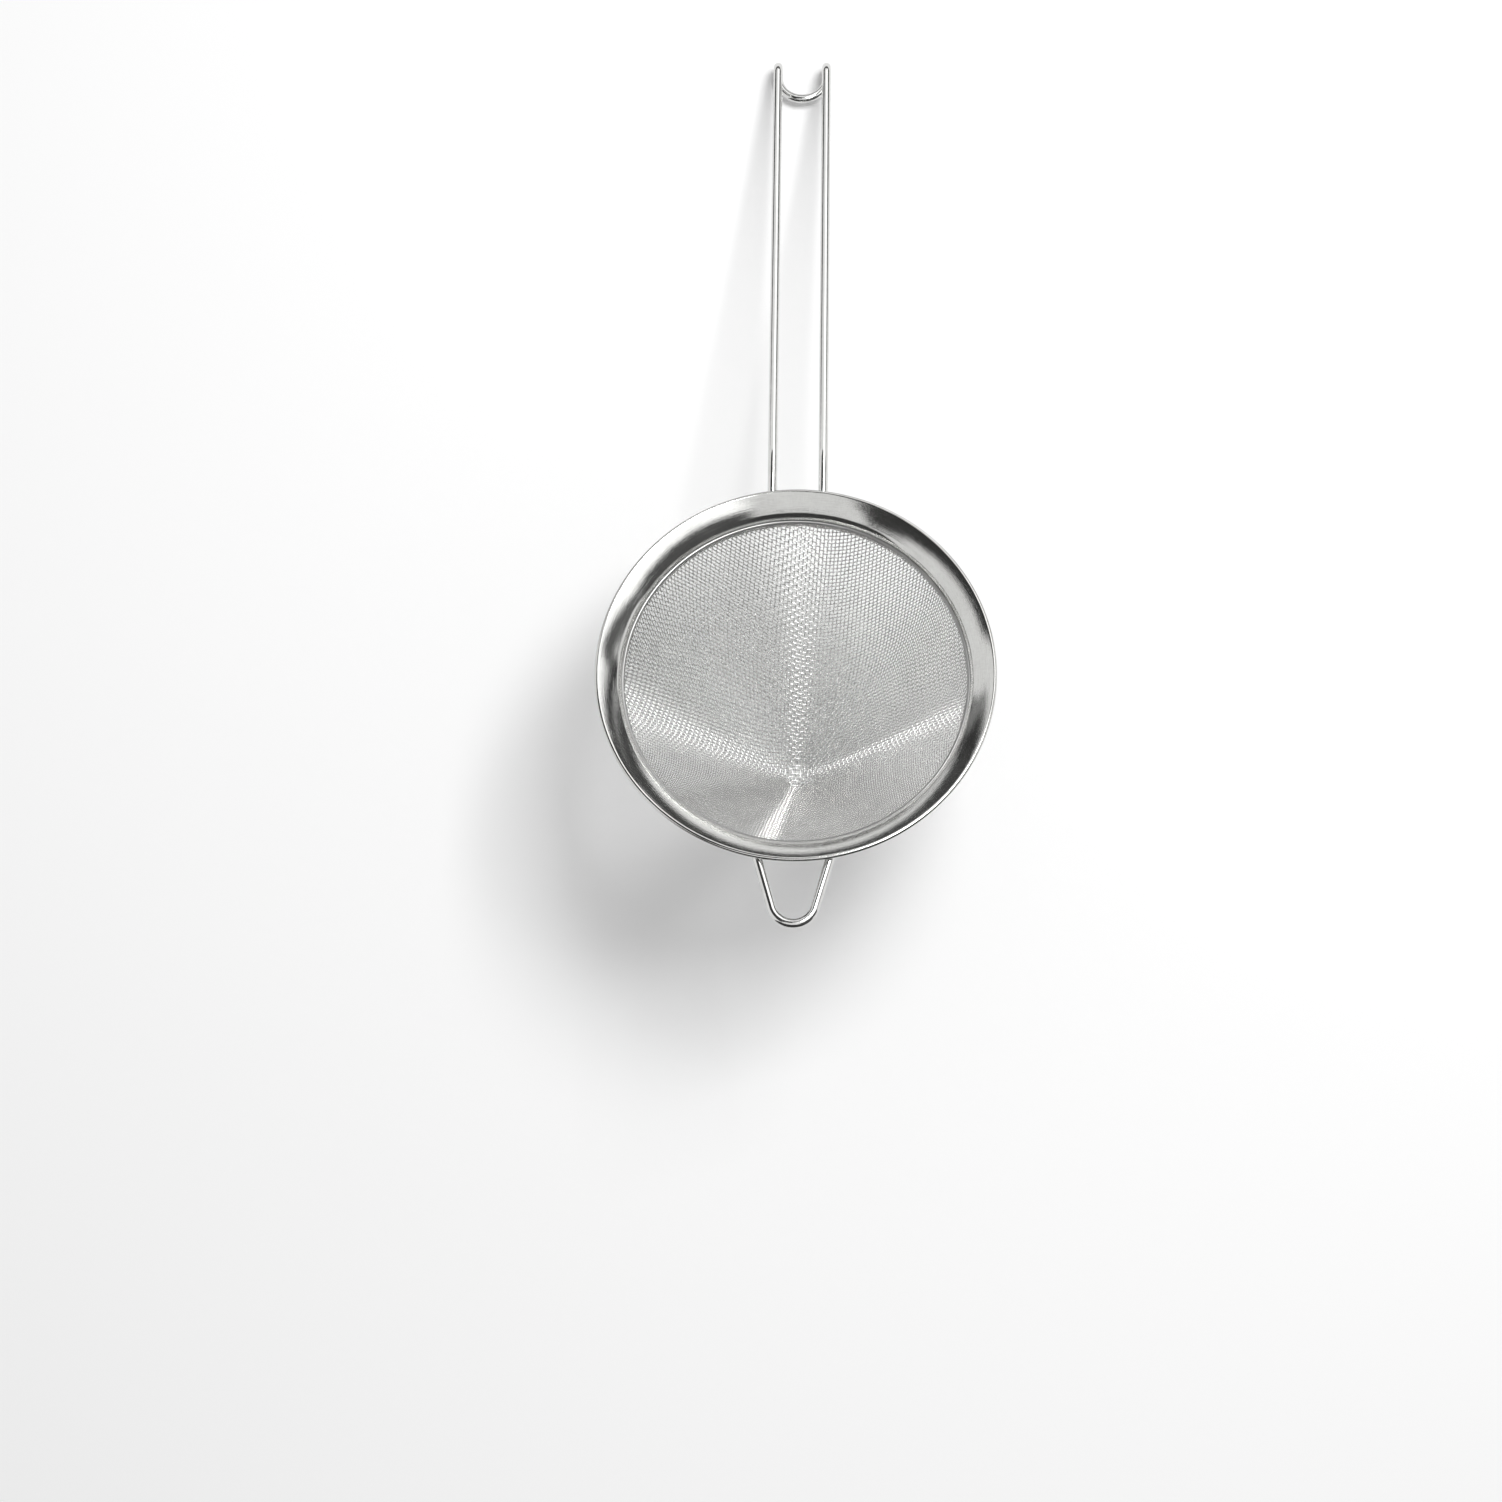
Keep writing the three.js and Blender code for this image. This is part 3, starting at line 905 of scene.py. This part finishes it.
studio_card("card_low_left", -27.2, -8.9, 1.0, 14, 21, DARK, 43)
studio_card("card_front_left", -32.4, 15.8, 1.05, 34, 46, DARK, -31)
studio_card("card_over_camera", -12, 28, 1.0, 24, 38, DARK)
studio_card("card_left_side", -63, 61, 1.1, 24, 16, GREY)
studio_card("card_upper_left", -52, 84, 1.0, 42, 26, DARK)
studio_card("card_right_edge", 57, 56, 1.0, 10, 38, DARK, -8)
studio_card("card_right_side", 62, 19, 1.0, 15, 32, DIM)
studio_card("card_low_right", 50.3, -24.2, 1.1, 44, 60, DUSKY, 52)
# The soft box is a painted highlight in the metal, not a lamp.
studio_card("soft_box_painted_reflection", 34, 23, 1.6, 48, 90, BRIGHT)


def studio_shelf(name, width, depth, right, up, out, brightness):
    """A card that lies square to the wall, above or below the strainer, at distances in metres."""
    card = glowing_card(name, width, depth, brightness)
    card.location = by_wall(right, up, out)
    card.rotation_euler = (WALL_TILT + math.pi / 2, 0, 0)


studio_shelf("card_far_above", 2.6, 0.37, 0, 0.8, -0.115, SHADED)
studio_shelf("card_floor", 3.0, 1.97, 0.2, -1.0, 0.785, DARK)

# Light: an even pale room and one large soft lamp above and a little to the right

ROOM_LIGHT = 0.53
LAMP_POWER = 18.5
LAMP_SIZE = 0.6
LAMP_DISTANCE = 1.6
LAMP_TOWARDS = (0.34, 0.45, 1.0)  # to the right, up and out from the wall


def pale_room():
    """An even room. Where it is seen, straight or in the metal, it is white."""
    world = bpy.data.worlds.new("pale_room")
    world.use_nodes = True
    world.node_tree.nodes.clear()
    shade = Shade(world.node_tree)
    path = shade.node("ShaderNodeLightPath")
    rays = {socket.name: Shade(shade.tree, socket) for socket in path.socket.node.outputs}
    seen = shade.maths("MAXIMUM", rays["Is Camera Ray"], rays["Is Glossy Ray"])
    seen = shade.maths("MAXIMUM", seen, rays["Is Transmission Ray"])
    strength = ROOM_LIGHT + seen * (1 - ROOM_LIGHT)
    glow = shade.node("ShaderNodeBackground", None, {"Color": (1, 1, 1, 1), "Strength": strength})
    shade.node("ShaderNodeOutputWorld", None, {"Surface": glow})
    return world


scene = bpy.context.scene
scene.world = pale_room()
scene.view_settings.view_transform = "Standard"

lamp_data = bpy.data.lights.new("soft_lamp", "AREA")
lamp_data.energy = LAMP_POWER
lamp_data.size = LAMP_SIZE
lamp = bpy.data.objects.new("soft_lamp", lamp_data)
lamp.location = by_wall(*LAMP_TOWARDS).normalized() * LAMP_DISTANCE
lamp.rotation_mode = "QUATERNION"
lamp.rotation_quaternion = (-lamp.location).to_track_quat("-Z", "Y")
scene.collection.objects.link(lamp)

# The camera, fitted to the photograph's frame of 1502 by 1502

CAMERA_PLACE = Vector((0.01723, -0.53042, 1.27777))
CAMERA_AIM = Vector((-0.01747, -0.02999, -0.01117))
CAMERA_ROLL = math.radians(-3.341)
CAMERA_FOCAL = 3484.0  # in pixels of that frame
FRAME_SIDE = 1502
SENSOR_WIDTH = 36

camera_data = bpy.data.cameras.new("photo_camera")
camera_data.sensor_width = SENSOR_WIDTH
camera_data.lens = CAMERA_FOCAL / FRAME_SIDE * SENSOR_WIDTH
camera = bpy.data.objects.new("photo_camera", camera_data)
camera.location = CAMERA_PLACE
camera.rotation_mode = "QUATERNION"
towards = (CAMERA_AIM - CAMERA_PLACE).to_track_quat("-Z", "Y")
camera.rotation_quaternion = towards @ Quaternion((0, 0, 1), CAMERA_ROLL)
scene.collection.objects.link(camera)
scene.camera = camera
